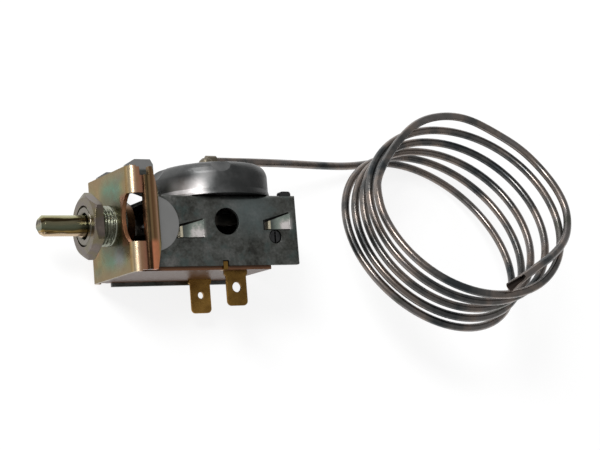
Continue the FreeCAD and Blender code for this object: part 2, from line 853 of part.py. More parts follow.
def main_lever():
    """Pressed channel that rocks on its pin, with the web facing the thrust pin."""
    px, py = main_pivot
    w = main_lever_half_width
    s = main_lever_sheet
    e = main_lever_ear
    top = main_lever_top
    front = px + e + slip_gap
    low = top - main_lever_flange
    slope = main_lever_slope
    cheek = [(px - e, py - e), (px + e, py - e), (front + slope, low), (main_lever_end - slope, low),
             (main_lever_end, top - s), (main_lever_end, top), (front, top), (px + e / 2, py + e), (px - e, py + e)]
    body = block(front, main_lever_end, top - s, top, -w, w).fuse(both_sides(plate_xy(cheek, w - s, w)))
    return body.cut(cross_rod(lever_pin_radius + slip_gap, px, py))


def lever_pin(x, y):
    return cross_rod(lever_pin_radius, x, y, case_inner_half)


def insulating_pusher():
    """Black moulding clipped under the end of the main lever, which presses on the contact arm."""
    under = main_lever_top - main_lever_sheet
    inside = main_lever_half_width - main_lever_sheet - slip_gap
    x0, x1 = pusher_x - pusher_half_length, pusher_x + pusher_half_length
    z0 = arm_z - arm_half_width
    low = main_lever_top - main_lever_flange - work_gap
    bar_foot = low - pusher_bar_height
    head = block(x0 - pusher_half_length / 2, x1, low, under, -inside, inside)
    bar = block(x0, x1, bar_foot, low, z0, inside)
    inset = pusher_half_length / 2
    foot = block(x0 + inset, x1 - inset, arm_top + work_gap, bar_foot, z0, arm_z + arm_half_width)
    return head.fuse(bar).fuse(foot)


def range_lever():
    """Rocker between the cam and the range spring, with a round nose under the cam rim."""
    px, py = range_pivot
    w = range_lever_half_width
    s = range_lever_sheet
    a = range_arm_half_width
    seat = py + range_lever_seat
    nose_y = -(cam_low + work_gap + nose_radius)
    beam = block(px, range_lever_end, seat, seat + s, -w, w)
    hub = cross_rod(lever_pin_radius + range_lever_seat, px, py, w)
    half = nose_radius / 2
    arm = plate_xy([(cam_middle, nose_y - half), (px, py - s), (px, seat + half), (cam_middle, nose_y + half)], -a, a)
    nose = cross_rod(nose_radius, cam_middle, nose_y, a)
    spigot_top = seat + s + spring_seat_height
    spigot = rod(spring_radius - spring_wire, (spring_x, seat + s, 0), (spring_x, spigot_top, 0))
    body = beam.fuse(hub).fuse(arm).fuse(nose).fuse(spigot)
    return body.cut(cross_rod(lever_pin_radius + slip_gap, px, py))


def range_spring():
    """Helical compression spring between the range lever and the main lever."""
    foot = range_pivot[1] + range_lever_seat + range_lever_sheet
    head = main_lever_top - main_lever_sheet
    r = spring_wire / 2
    height = head - foot - spring_wire - 2 * slip_gap
    helix = Part.makeHelix(height / spring_turns, height, spring_radius)
    ring = Part.Wire(Part.makeCircle(r, V(spring_radius, 0, 0), Y_AXIS))
    coil = Part.Wire(helix.Edges).makePipeShell([ring], True, True)
    coil.rotate(V(0, 0, 0), X_AXIS, -90)
    coil.translate(V(spring_x, foot + r + slip_gap, 0))
    return coil


# Rear block and trim screw


def rear_block():
    """Black moulding at the back of the case that carries the trim screw; its nub shows above the web."""
    i = base_half_width
    rear = case_rear - case_sheet - slip_gap
    low = base_inside + base_wall_height + work_gap
    high = web_under - slip_gap
    body = block(block_front, rear, low, high, block_step_z, i)
    body = body.fuse(block(block_far_front, rear, low, high, -i, block_step_z))
    nub = block(nub_front, nub_rear, web_under - over, nub_top, case_inner_half - nub_width, i)
    nub = nub.makeFillet(nub_round, edges_along(nub, Z_AXIS, lambda m: m.y > nub_top - nub_round))
    seat = rod(trim_radius + slip_gap, (trim_x, trim_y, trim_back), (trim_x, trim_y, case_half_width + over))
    t = tongues[1]
    g = work_gap
    deep = case_inner_half - tongue_dip - g
    relief = block(t["x"] - g, t["x"] + t["length"] + g, t["y"] - g, t["y"] + t["root"] + g, deep, i + over)
    return body.fuse(nub).cut(seat).cut(relief)


def trim_screw():
    body = rod(trim_radius, (trim_x, trim_y, trim_back + slip_gap), (trim_x, trim_y, trim_face))
    body = body.makeChamfer(trim_slot / 2, [e for e in body.Edges if e.BoundBox.ZMin > trim_face - slip_gap])
    half = trim_slot / 2
    wide = trim_radius + over
    slot_floor = trim_face - trim_slot_depth
    slot = block(trim_x - half, trim_x + half, trim_y - wide, trim_y + wide, slot_floor, trim_face + over)
    return body.cut(slot)


def main():
    os.makedirs("parts", exist_ok=True)
    save(mounting_bracket(), "mounting_bracket")
    save(threaded_bush(), "threaded_bush")
    save(panel_nut(), "panel_nut")
    save(spindle(), "spindle")
    save(retaining_ring(), "retaining_ring")
    save(range_cam(), "range_cam")
    save(case_frame(), "case_frame")
    save(diaphragm_cup(), "diaphragm_cup")
    save(capillary_ferrule(), "capillary_ferrule")
    save(element_base(), "element_base")
    save(diaphragm(), "diaphragm")
    save(thrust_pin(), "thrust_pin")
    save(capillary_tube(lead_points, "lead"), "capillary_lead")
    save(capillary_coil(), "capillary_coil")
    save(capillary_tube(free_end_points, "free end"), "capillary_end")
    save(terminal_base(), "terminal_base")
    save(terminal_far(), "terminal_far")
    save(terminal_near(), "terminal_near")
    save(fixed_contact(), "fixed_contact")
    save(moving_contact(), "moving_contact")
    save(contact_arm(), "contact_arm")
    save(contact_strap(), "contact_strap")
    save(arm_post(), "arm_post")
    save(main_lever(), "main_lever")
    save(lever_pin(*main_pivot), "main_lever_pin")
    save(insulating_pusher(), "insulating_pusher")
    save(range_lever(), "range_lever")
    save(lever_pin(*range_pivot), "range_lever_pin")
    save(range_spring(), "range_spring")
    save(rear_block(), "rear_block")
    save(trim_screw(), "trim_screw")


main()
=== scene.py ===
# Looks of the capillary thermostat: finishes of every surface, the bush thread, the range spring
# and the coiled capillary.
# Sizes that come from the part are in millimetres and are multiplied by MM. The scene is in metres.
import math

import bpy
from mathutils import Matrix, Vector


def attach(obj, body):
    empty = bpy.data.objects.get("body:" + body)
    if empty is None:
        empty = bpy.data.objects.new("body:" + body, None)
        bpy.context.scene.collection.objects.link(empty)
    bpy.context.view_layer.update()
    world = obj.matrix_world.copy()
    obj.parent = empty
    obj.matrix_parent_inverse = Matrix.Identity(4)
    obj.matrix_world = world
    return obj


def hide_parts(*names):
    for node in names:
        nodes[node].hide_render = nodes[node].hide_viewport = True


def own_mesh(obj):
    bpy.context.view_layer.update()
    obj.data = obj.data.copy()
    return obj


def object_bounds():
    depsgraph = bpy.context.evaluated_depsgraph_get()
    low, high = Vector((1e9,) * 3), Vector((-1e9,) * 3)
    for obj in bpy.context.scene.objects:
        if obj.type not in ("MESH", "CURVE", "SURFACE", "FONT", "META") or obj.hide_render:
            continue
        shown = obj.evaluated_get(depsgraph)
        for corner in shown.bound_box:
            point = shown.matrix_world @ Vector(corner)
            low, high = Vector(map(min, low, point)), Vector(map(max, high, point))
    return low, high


MM = 0.001
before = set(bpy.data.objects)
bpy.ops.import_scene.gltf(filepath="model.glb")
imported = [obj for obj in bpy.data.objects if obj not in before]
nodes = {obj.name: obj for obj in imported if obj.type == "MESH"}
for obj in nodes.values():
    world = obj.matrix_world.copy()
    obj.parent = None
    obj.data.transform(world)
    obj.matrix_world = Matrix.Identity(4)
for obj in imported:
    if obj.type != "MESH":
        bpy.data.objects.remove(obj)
cad_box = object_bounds()

# Camera, fitted to the corners of the bracket and the case
camera_place = Vector((-174.56, -62.50, 395.48)) * MM
camera_right = Vector((0.86286, -0.08161, 0.49881))
camera_up = Vector((0.00214, 0.98746, 0.15786))
focal_pixels = 1600.0
image_width = 600.0
sensor_width = 36.0

# Capillary
capillary_radius = 1.2
lead_points = [
    (33.8, 18.45, 0.0),
    (46.0, 18.45, 0.0),
    (60.0, 18.9, -3.2),
    (74.0, 19.5, -8.2),
    (87.0, 20.2, -12.0),
]
coil_stations = [
    {"turn": 0.0, "centre": (104.0, -6.0, -1.0), "radius": 31.5, "lean": (8.0, 27.0)},
    {"turn": 2.4, "centre": (105.5, -2.0, 9.5), "radius": 28.5, "lean": (-2.0, 24.0)},
    {"turn": 4.8, "centre": (107.0, 3.0, 21.0), "radius": 31.0, "lean": (-4.0, 26.0)},
]
coil_points_per_turn = 16
coil_start_angle = 1.67
free_end_points = [
    (77.0, 8.0, 16.0),
    (80.0, 12.5, 13.0),
    (84.5, 17.5, 10.5),
    (91.5, 24.5, 8.5),
    (99.5, 30.5, 8.0),
    (108.5, 32.5, 8.5),
    (117.0, 31.5, 9.5),
    (125.0, 27.0, 11.5),
    (132.0, 21.5, 14.5),
    (137.0, 15.0, 17.0),
    (139.5, 7.5, 21.0),
    (139.5, 0.0, 24.5),
    (135.0, -8.0, 28.5),
    (127.0, -13.5, 32.0),
    (116.5, -18.0, 35.5),
    (106.0, -23.5, 36.0),
]

# Bracket and spindle, for the bands of colour, painted highlight, painted reflection and painted shade across
# them
ear_reach = 8.4
band_front = 4.0
spindle_across = 6.0

# Round boss, lugs that turn pale between two heights (below them the dark case colour is left as painted
# shade behind the slot in the bracket's ear), and lanced tongues of the case, which carry painted highlights
boss_place = (6.9, -1.3, 13.4)
boss_radius = 7.55
boss_soft = 0.12
lug_shade_edge = (13.5, 14.3)
tongues = [
    {"x": 14.8, "y": -5.1, "length": 7.0, "free": 2.9, "root": 4.8},
    {"x": 42.0, "y": -3.0, "length": 6.8, "free": 2.2, "root": 4.5},
]

# Open tip of the capillary
tip_length = 6.5
tip_half_width = 1.5
tip_squeeze = 0.85
tip_wall = 0.32
tip_gap_angle = 62.0
tip_least_gap = 0.01
tip_slack = 0.03
tip_facing = Vector((-0.55, 0.10, 0.80))

# Range spring
spring_x = 20.5
spring_foot = -4.75
spring_head = 0.4
spring_radius = 3.0
spring_wire = 0.9
spring_turns = 5
spring_steps_per_turn = 30
spring_sides = 12

# Bush and its thread
bush_radius = 5.555
bush_front = -7.5
bush_shoulder = 1.1
bush_rear = 2.5
bush_flange_radius = 7.0
bush_bore = 3.05
bush_mouth = 3.6
bush_mouth_depth = 3.0
bush_mouth_bevel = 0.25
bush_chamfer = 0.55
thread_pitch = 0.9
thread_depth = 0.5
thread_rear = -0.1
thread_crest = 0.12
thread_flank = 0.76

# Floor, lamps and world
floor_half_size = 6.0
floor_shade = 0.26
floor_glow = 0.82
lamp_target = (0.05, 0.0, 0.0)
world_strength = 0.40


# Material tools


class Paint:
    """A metal or plastic material under construction, with short calls for the nodes that it uses."""

    def __init__(self, name):
        self.material = bpy.data.materials.new(name)
        self.material.use_nodes = True
        self.tree = self.material.node_tree
        self.shader = self.tree.nodes["Principled BSDF"]
        self.place = self.tree.nodes.new("ShaderNodeTexCoord").outputs["Object"]

    def add(self, kind, settings=None, **inputs):
        made = self.tree.nodes.new(kind)
        for key, value in (settings or {}).items():
            setattr(made, key, value)
        for key, value in inputs.items():
            socket = made.inputs[int(key[1:])] if key[0] == "_" else made.inputs[key.replace("_", " ")]
            self.feed(socket, value)
        return made

    def feed(self, socket, value):
        if isinstance(value, bpy.types.NodeSocket):
            self.tree.links.new(value, socket)
        else:
            socket.default_value = value

    def stretched(self, scale):
        return self.add("ShaderNodeMapping", _0=self.place, Scale=scale).outputs[0]

    def noise(self, scale, detail=4.0, roughness=0.55, vector=None):
        made = self.add("ShaderNodeTexNoise", Vector=vector or self.place, Scale=scale, Detail=detail,
                        Roughness=roughness)
        return made.outputs["Fac"]

    def crystals(self, scale):
        made = self.add("ShaderNodeTexVoronoi", Vector=self.place, Scale=scale)
        return self.add("ShaderNodeRGBToBW", Color=made.outputs["Color"]).outputs[0]

    def ramp(self, factor, stops):
        made = self.add("ShaderNodeValToRGB", Fac=factor)
        band = made.color_ramp
        while len(band.elements) < len(stops):
            band.elements.new(0.5)
        for element, (position, colour) in zip(band.elements, stops):
            element.position = position
            element.color = (*colour, 1.0)
        return made.outputs["Color"]

    def span(self, value, low, high, to_low=0.0, to_high=1.0):
        made = self.add("ShaderNodeMapRange", {"interpolation_type": "SMOOTHSTEP"}, Value=value)
        for socket, number in zip(list(made.inputs)[1:5], (low, high, to_low, to_high)):
            socket.default_value = number
        return made.outputs[0]

    def blend(self, factor, a, b):
        made = self.add("ShaderNodeMix", {"data_type": "RGBA"})
        self.feed(made.inputs[0], factor)
        self.feed(made.inputs[6], a if isinstance(a, bpy.types.NodeSocket) else (*a, 1.0))
        self.feed(made.inputs[7], b if isinstance(b, bpy.types.NodeSocket) else (*b, 1.0))
        return made.outputs[2]

    def math(self, operation, a, b=0.0):
        made = self.add("ShaderNodeMath", {"operation": operation})
        self.feed(made.inputs[0], a)
        self.feed(made.inputs[1], b)
        return made.outputs[0]

    def axis(self, name):
        """One coordinate of the place on the part, in millimetres."""
        metres = self.add("ShaderNodeSeparateXYZ", Vector=self.place).outputs[name]
        return self.math("DIVIDE", metres, MM)

    def near(self, centre, radius, soft):
        """1 inside a ball of this radius, in millimetres, and 0 outside it."""
        far = self.add("ShaderNodeVectorMath", {"operation": "DISTANCE"}, _0=self.place)
        far.inputs[1].default_value = Vector(centre) * MM
        return self.span(far.outputs["Value"], (radius - soft) * MM, (radius + soft) * MM, 1.0, 0.0)

    def bump(self, height, strength, distance, edge=0.0):
        made = self.add("ShaderNodeBump", Height=height, Strength=strength, Distance=distance)
        if edge:
            rounded = self.add("ShaderNodeBevel", {"samples": 4}, Radius=edge)
            self.tree.links.new(rounded.outputs[0], made.inputs["Normal"])
        self.tree.links.new(made.outputs[0], self.shader.inputs["Normal"])

    def finish(self, **values):
        for key, value in values.items():
            self.feed(self.shader.inputs[key.replace("_", " ")], value)
        return self.material


# Materials


def chromated_sheet():
    """Yellow chromate on zinc: teal fields on the plate, brown round the bush, copper on the folded ears,
    with a painted highlight along each fold, painted shadow along the step of the ear, thin painted highlight
    lines on the raised band and a painted highlight on the notch rim.
    """
    p = Paint("chromated_sheet")
    x, y, z = (p.axis(name) for name in "XYZ")
    out_y = p.math("ABSOLUTE", y)
    out_z = p.math("ABSOLUTE", z)
    clouds = p.noise(95.0, 3.0, 0.5)
    stain = p.noise(420.0, 5.0, 0.65)
    plate = p.ramp(clouds, [
        (0.30, (0.25, 0.15, 0.045)), (0.44, (0.22, 0.175, 0.055)), (0.54, (0.15, 0.175, 0.075)),
        (0.64, (0.11, 0.15, 0.095)), (0.76, (0.17, 0.145, 0.12)),
    ])
    teal = p.math("MAXIMUM", p.near((0, 9.0, 1.5), 5.5, 3.5), p.near((0, -8.5, 0.5), 5.5, 3.5))
    plate = p.blend(p.math("MULTIPLY", teal, 0.85), plate, (0.075, 0.185, 0.115))
    violet = p.near((0, -9.0, 5.5), 3.2, 2.2)
    plate = p.blend(p.math("MULTIPLY", violet, 0.8), plate, (0.16, 0.17, 0.18))
    border = p.math("MAXIMUM", p.span(out_y, 9.5, 14.0), p.span(out_z, 9.0, 12.8))
    plate = p.blend(p.math("MULTIPLY", border, 0.75), plate, (0.215, 0.135, 0.05))
    from_axis = p.math("SQRT", p.math("ADD", p.math("MULTIPLY", y, y), p.math("MULTIPLY", z, z)))
    collar = p.span(p.math("ADD", from_axis, p.math("MULTIPLY", clouds, 4.0)), 8.0, 13.0, 0.85, 0.0)
    plate = p.blend(collar, plate, (0.085, 0.072, 0.025))
    # The cut rim of the window notch: copper, painted bright as a highlight.
    lip = p.math("MULTIPLY", p.span(out_z, 7.5, 9.0), p.span(out_y, 6.0, 7.5, 1.0, 0.0))
    plate = p.blend(p.math("MULTIPLY", lip, 0.85), plate, (0.46, 0.20, 0.105))
    # Bands across the ear by distance from the plate: copper and brown, with a painted highlight (cream)
    # along the fold and painted shadow (near black) along the step to the raised band.
    ear_tones_and_highlights = p.ramp(p.math("DIVIDE", x, ear_reach), [
        (0.02, (0.30, 0.21, 0.10)), (0.10, (0.66, 0.54, 0.36)), (0.20, (0.62, 0.44, 0.30)),
        (0.28, (0.46, 0.26, 0.15)), (0.44, (0.42, 0.19, 0.12)), (0.49, (0.06, 0.03, 0.015)),
        (0.62, (0.05, 0.026, 0.012)), (0.67, (0.85, 0.32, 0.17)), (0.86, (0.66, 0.26, 0.13)),
        (0.93, (0.34, 0.28, 0.13)), (0.99, (0.10, 0.07, 0.04)),
    ])
    # The raised band beside the window: dark brown with thin pale lines that are painted highlights.
    band = p.span(x, 4.2, 5.2)
    along_band = p.math("DIVIDE", p.math("SUBTRACT", x, band_front), ear_reach - band_front)
    brown = p.ramp(along_band, [
        (0.05, (0.05, 0.03, 0.015)), (0.15, (0.30, 0.23, 0.11)), (0.25, (0.045, 0.03, 0.015)),
        (0.40, (0.25, 0.19, 0.09)), (0.52, (0.09, 0.055, 0.025)), (0.66, (0.20, 0.13, 0.06)),
        (0.80, (0.55, 0.33, 0.22)), (0.87, (0.10, 0.06, 0.03)), (0.95, (0.30, 0.24, 0.13)),
    ])
    ear_tones_and_highlights = p.blend(p.math("MULTIPLY", band, p.span(y, -7.2, -5.2, 0.0, 0.9)), ear_tones_and_highlights, brown)
    colour = p.blend(p.span(out_z, 12.0, 13.3), plate, ear_tones_and_highlights)
    colour = p.blend(p.span(stain, 0.40, 0.75, 0.0, 0.35), colour, (0.20, 0.12, 0.06))
    p.bump(p.noise(2600.0, 3.0), 0.10, 0.0002, 0.12 * MM)
    return p.finish(Base_Color=colour, Metallic=0.95, Roughness=p.span(stain, 0.2, 0.8, 0.22, 0.40))


def chromated_rod():
    """Turned rod, chromated, with bands along its length that are painted reflections and painted highlights
    in chromate colours: olive, brown, grey-green, gold and beige, set by height across the rod and wavered by
    streaks.
    """
    p = Paint("chromated_rod")
    streaks = p.noise(1.0, 3.0, 0.6, p.stretched((120.0, 900.0, 900.0)))
    # Bands by height across the rod are painted reflections and painted highlights, wavered by the streaks.
    height = p.math("DIVIDE", p.axis("Y"), spindle_across)
    across = p.math("ADD", height, p.span(streaks, 0.3, 0.7, 0.44, 0.56))
    colour = p.ramp(across, [
        (0.04, (0.60, 0.47, 0.34)), (0.13, (0.52, 0.40, 0.26)), (0.18, (0.08, 0.045, 0.015)),
        (0.23, (0.45, 0.30, 0.10)), (0.29, (0.11, 0.10, 0.05)), (0.42, (0.14, 0.16, 0.105)),
        (0.58, (0.24, 0.215, 0.13)), (0.67, (0.035, 0.023, 0.01)), (0.78, (0.06, 0.042, 0.016)),
        (0.84, (0.34, 0.32, 0.17)), (0.96, (0.46, 0.45, 0.28)),
    ])
    p.bump(p.noise(1500.0, 4.0), 0.12, 0.00015, 0.1 * MM)
    return p.finish(Base_Color=colour, Metallic=1.0, Roughness=p.span(streaks, 0.3, 0.7, 0.18, 0.32))


def bush_metal():
    """Bright greenish plating on the thread, browned on the flat front ring."""
    p = Paint("bush_plate")
    clouds = p.noise(380.0, 5.0, 0.6)
    colour = p.ramp(clouds, [(0.32, (0.20, 0.215, 0.165)), (0.68, (0.36, 0.37, 0.30))])
    front = p.span(p.axis("X"), bush_front + 0.1, bush_front + 0.4, 1.0, 0.0)
    colour = p.blend(p.math("MULTIPLY", front, 0.9), colour, (0.15, 0.13, 0.105))
    p.bump(p.noise(3200.0, 4.0), 0.12, 0.0002, 0.12 * MM)
    return p.finish(Base_Color=colour, Metallic=0.95, Roughness=p.span(clouds, 0.3, 0.7, 0.18, 0.32))


def nut_metal():
    """Grey-brown plating with olive and pinkish clouds."""
    p = Paint("nut_plate")
    clouds = p.noise(170.0, 4.0, 0.6)
    colour = p.ramp(clouds, [
        (0.32, (0.115, 0.10, 0.055)), (0.44, (0.155, 0.13, 0.085)), (0.54, (0.15, 0.125, 0.11)),
        (0.68, (0.22, 0.18, 0.155)),
    ])
    p.bump(p.noise(2600.0, 4.0), 0.12, 0.0002, 0.12 * MM)
    return p.finish(Base_Color=colour, Metallic=0.95, Roughness=p.span(clouds, 0.3, 0.7, 0.24, 0.38))


def zinc(name, light, dark, rough):
    p = Paint(name)
    clouds = p.noise(380.0, 5.0, 0.6)
    p.bump(p.noise(3200.0, 4.0), 0.12, 0.0002, 0.12 * MM)
    return p.finish(Base_Color=p.ramp(clouds, [(0.32, dark), (0.68, light)]), Metallic=0.95,
                    Roughness=p.span(clouds, 0.3, 0.7, rough, rough + 0.14))


def galvanised_sheet():
    """Hot-dipped sheet, dark and mottled, with painted highlights on the lanced tongues and their lips, pale
    lugs whose lower part keeps the dark colour as painted shade, and a smooth round boss.
    """
    p = Paint("galvanised_sheet")
    x, y, z = (p.axis(name) for name in "XYZ")
    clouds = p.noise(150.0, 6.0, 0.66)
    fine = p.noise(1300.0, 5.0, 0.7)
    mottle = p.math("ADD", p.math("MULTIPLY", clouds, 0.7), p.math("MULTIPLY", fine, 0.3))
    colour = p.ramp(mottle, [
        (0.38, (0.042, 0.042, 0.038)), (0.46, (0.080, 0.082, 0.074)), (0.53, (0.115, 0.120, 0.112)),
        (0.60, (0.165, 0.165, 0.157)), (0.70, (0.25, 0.245, 0.235)),
    ])
    teal = p.span(p.noise(230.0, 4.0, 0.6), 0.52, 0.66, 0.0, 0.45)
    colour = p.blend(teal, colour, (0.085, 0.125, 0.12))
    pale = p.near((36.5, 2.5, 13.3), 6.0, 4.5)
    colour = p.blend(p.math("MULTIPLY", pale, 0.55), colour, (0.18, 0.22, 0.22))
    boss = p.near(boss_place, boss_radius, boss_soft)
    # Above the lug heights the sheet turns pale; below them the dark colour is kept as painted shade behind
    # the slot in the bracket's ear.
    smooth = p.math("MAXIMUM", boss, p.span(y, *lug_shade_edge))
    colour = p.blend(p.math("MULTIPLY", smooth, 0.94), colour, (0.34, 0.34, 0.335))
    rough = p.span(mottle, 0.3, 0.75, 0.34, 0.50)
    # Each lanced tongue gets a painted highlight, brightest towards its root and near white at its peak.
    for tongue in tongues:
        tongue_highlight = on_tongue(p, x, y, z, tongue)
        low_root = p.math("MULTIPLY", p.span(x, tongue["x"] + 0.5, tongue["x"] + 0.75 * tongue["length"]),
                          p.span(y, tongue["y"] + 1.2, tongue["y"] + tongue["root"], 1.0, 0.35))
        speckle = p.span(p.noise(420.0, 3.0, 0.6), 0.35, 0.6, 0.6, 1.0)
        highlight_tints = p.ramp(p.math("MULTIPLY", low_root, speckle), [
            (0.10, (0.17, 0.20, 0.18)), (0.40, (0.36, 0.42, 0.37)), (0.62, (0.70, 0.68, 0.64)),
            (0.88, (1.0, 0.94, 0.92)),
        ])
        colour = p.blend(tongue_highlight, colour, highlight_tints)
        # Painted highlight on the lip at the tongue's free end.
        lip = p.math("MULTIPLY", tongue_lip(p, x, y, z, tongue), 0.9)
        colour = p.blend(lip, colour, (0.85, 0.78, 0.58))
        rough = p.math("SUBTRACT", rough, p.math("MULTIPLY", tongue_highlight, 0.12))
    p.bump(p.math("ADD", fine, p.crystals(430.0)), 0.09, 0.0003, 0.15 * MM)
    return p.finish(Base_Color=colour, Metallic=0.90, Roughness=rough)


def on_tongue(p, x, y, z, tongue):
    """How strong the painted highlight on a lanced tongue is: 0 outside it, a quarter at its free end, up to
    1 towards its root.
    """
    along = p.span(x, tongue["x"], tongue["x"] + 0.6 * tongue["length"], 0.25, 1.0)
    rising = (tongue["root"] - tongue["free"]) / tongue["length"]
    slanted = p.math("SUBTRACT", y, p.math("MULTIPLY", p.math("SUBTRACT", x, tongue["x"]), rising))
    high = tongue["y"] + tongue["free"]
    inside = [p.span(x, tongue["x"] - 0.1, tongue["x"]),
              p.span(x, tongue["x"] + tongue["length"] - 0.8, tongue["x"] + tongue["length"] + 1.2, 1.0, 0.0),
              p.span(y, tongue["y"] - 0.1, tongue["y"]), p.span(slanted, high, high + 0.15, 1.0, 0.0),
              p.span(z, 10.0, 11.0)]
    for limit in inside:
        along = p.math("MULTIPLY", along, limit)
    return along


def tongue_lip(p, x, y, z, tongue):
    """1 on the lip at a tongue's free end, where a painted highlight goes, and 0 elsewhere."""
    lip = p.span(x, tongue["x"] + 0.7, tongue["x"] + 0.9, 1.0, 0.0)
    for limit in (p.span(x, tongue["x"] - 0.1, tongue["x"]), p.span(y, tongue["y"] - 0.1, tongue["y"]),
                  p.span(y, tongue["y"] + tongue["free"], tongue["y"] + tongue["free"] + 0.4, 1.0, 0.0),
                  p.span(z, 10.0, 11.0)):
        lip = p.math("MULTIPLY", lip, limit)
    return lip


def drawn_steel():
    """Drawn steel, satin dark grey, with a painted highlight low on its front and painted shade darkening it
    towards the rear.
    """
    p = Paint("drawn_steel")
    clouds = p.noise(150.0, 5.0, 0.6)
    colour = p.ramp(clouds, [
        (0.34, (0.065, 0.067, 0.067)), (0.55, (0.105, 0.107, 0.107)), (0.75, (0.16, 0.157, 0.155)),
    ])
    x, y, z = (p.axis(name) for name in "XYZ")
    # Painted highlight low on the front of the wall, near the foot.
    front_highlight = p.math("MULTIPLY", p.span(x, 14.5, 18.0), p.span(x, 19.5, 24.0, 1.0, 0.0))
    low_side = p.math("MULTIPLY", p.span(y, 7.8, 12.5, 1.0, 0.0), p.span(z, 4.0, 8.0))
    front_highlight = p.math("MULTIPLY", front_highlight, low_side)
    colour = p.blend(p.math("MULTIPLY", front_highlight, 0.85), colour, (0.80, 0.76, 0.75))
    # Painted shade towards the rear.
    rear = p.span(x, 28.0, 40.0, 0.0, 0.8)
    colour = p.blend(rear, colour, (0.030, 0.031, 0.031))
    p.bump(p.noise(1900.0, 4.0, 0.6), 0.08, 0.0003, 0.1 * MM)
    return p.finish(Base_Color=colour, Metallic=0.92, Roughness=p.span(clouds, 0.3, 0.7, 0.30, 0.44))


def capillary_metal():
    """Drawn tube, warm grey, a little duller in places."""
    p = Paint("capillary_metal")
    clouds = p.noise(60.0, 4.0, 0.6)
    marks = p.noise(260.0, 3.0, 0.6)
    colour = p.ramp(clouds, [
        (0.36, (0.055, 0.062, 0.066)), (0.45, (0.13, 0.125, 0.12)), (0.53, (0.24, 0.20, 0.175)),
        (0.60, (0.20, 0.185, 0.18)), (0.70, (0.115, 0.115, 0.10)),
    ])
    return p.finish(Base_Color=colour, Metallic=0.97, Roughness=p.span(marks, 0.3, 0.7, 0.20, 0.30))


def sheet_brass(name, light, dark):
    p = Paint(name)
    clouds = p.noise(260.0, 5.0, 0.6)
    fine = p.noise(2200.0, 4.0, 0.6)
    colour = p.ramp(clouds, [(0.30, dark), (0.66, light)])
    p.bump(fine, 0.12, 0.0002, 0.1 * MM)
    return p.finish(Base_Color=colour, Metallic=0.95, Roughness=p.span(fine, 0.3, 0.7, 0.24, 0.40))


def moulding(name, colour, rough, gloss):
    p = Paint(name)
    grain = p.noise(2400.0, 4.0, 0.6)
    shade = [0.8 * c for c in colour]
    p.bump(grain, 0.10, 0.0002, 0.15 * MM)
    return p.finish(Base_Color=p.ramp(p.noise(140.0, 4.0), [(0.3, shade), (0.7, colour)]),
                    Roughness=p.span(grain, 0.3, 0.7, rough, rough + 0.1), Specular_IOR_Level=gloss)


def wear(node, material):
    mesh = nodes[node].data
    mesh.materials.clear()
    mesh.materials.append(material)


# Threaded bush


def thread_radius(x, turn):
    """Radius of the thread at a place along the bush, for an angle given as a share of a turn."""
    chamfer = min(1.0, (x - bush_front) / bush_chamfer) * bush_chamfer
    major = bush_radius - bush_chamfer + chamfer
    phase = (x / thread_pitch + turn) % 1.0
    height = max(0.0, min(1.0, (abs(2.0 * phase - 1.0) - thread_crest) / thread_flank))
    fade = min(1.0, max(0.0, (thread_rear - x) / thread_pitch))
    return min(major, bush_radius - thread_depth * height * fade)


def threaded_bush(material):
    sides = 96
    rings_per_pitch = 8
    rings = [(bush_rear, bush_bore), (bush_front + bush_mouth_depth, bush_bore),
             (bush_front + bush_mouth_depth, bush_mouth), (bush_front + bush_mouth_bevel, bush_mouth),
             (bush_front, bush_mouth + bush_mouth_bevel)]
    steps = round((thread_rear - bush_front) / thread_pitch * rings_per_pitch)
    rings += [(bush_front + (thread_rear - bush_front) * k / steps, None) for k in range(steps + 1)]
    rings += [(bush_shoulder, bush_radius), (bush_shoulder, bush_flange_radius),
              (bush_rear, bush_flange_radius)]
    verts = []
    for x, fixed in rings:
        for k in range(sides):
            turn = k / sides
            r = fixed if fixed is not None else thread_radius(x, turn)
            angle = 2 * math.pi * turn
            verts.append((x * MM, r * math.cos(angle) * MM, r * math.sin(angle) * MM))
    piece = mesh_piece("bush_with_thread", verts, ring_faces(len(rings), sides, True), material, 35.0)
    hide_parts("threaded_bush")
    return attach(piece, "housing")


def ring_faces(rings, sides, closed):
    """Faces between rings of points, and from the last ring back to the first where closed."""
    faces = []
    for j in range(rings if closed else rings - 1):
        n = (j + 1) % rings
        for k in range(sides):
            m = (k + 1) % sides
            faces.append((j * sides + k, n * sides + k, n * sides + m, j * sides + m))
    return faces


def mesh_piece(name, verts, faces, material, sharp):
    mesh = bpy.data.meshes.new(name)
    mesh.from_pydata(verts, [], faces)
    mesh.validate()
    mesh.update()
    mesh.polygons.foreach_set("use_smooth", [True] * len(mesh.polygons))
    mesh.set_sharp_from_angle(angle=math.radians(sharp))
    mesh.materials.append(material)
    piece = bpy.data.objects.new(name, mesh)
    bpy.context.collection.objects.link(piece)
    return piece


# Range spring


def range_spring(material):
    """Compression spring, a fixed helix of wire that rides on the range rocker."""
    sides = spring_sides
    steps = spring_steps_per_turn * spring_turns
    wire = spring_wire / 2
    verts = []
    for j in range(steps + 1):
        angle = 2 * math.pi * spring_turns * j / steps
        y = mixed(spring_foot, spring_head, j / steps)
        for k in range(sides):
            a = 2 * math.pi * k / sides
            r = spring_radius + wire * math.cos(a)
            x = spring_x * MM + r * math.cos(angle) * MM
            verts.append((x, (y + wire * math.sin(a)) * MM, r * math.sin(angle) * MM))
    faces = ring_faces(steps + 1, sides, False)
    faces += [tuple(range(sides)), tuple(range(steps * sides, (steps + 1) * sides))]
    piece = mesh_piece("range_spring_wire", verts, faces, material, 60.0)
    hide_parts("range_spring")
    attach(piece, "range_rocker")
    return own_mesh(piece)


# Capillary


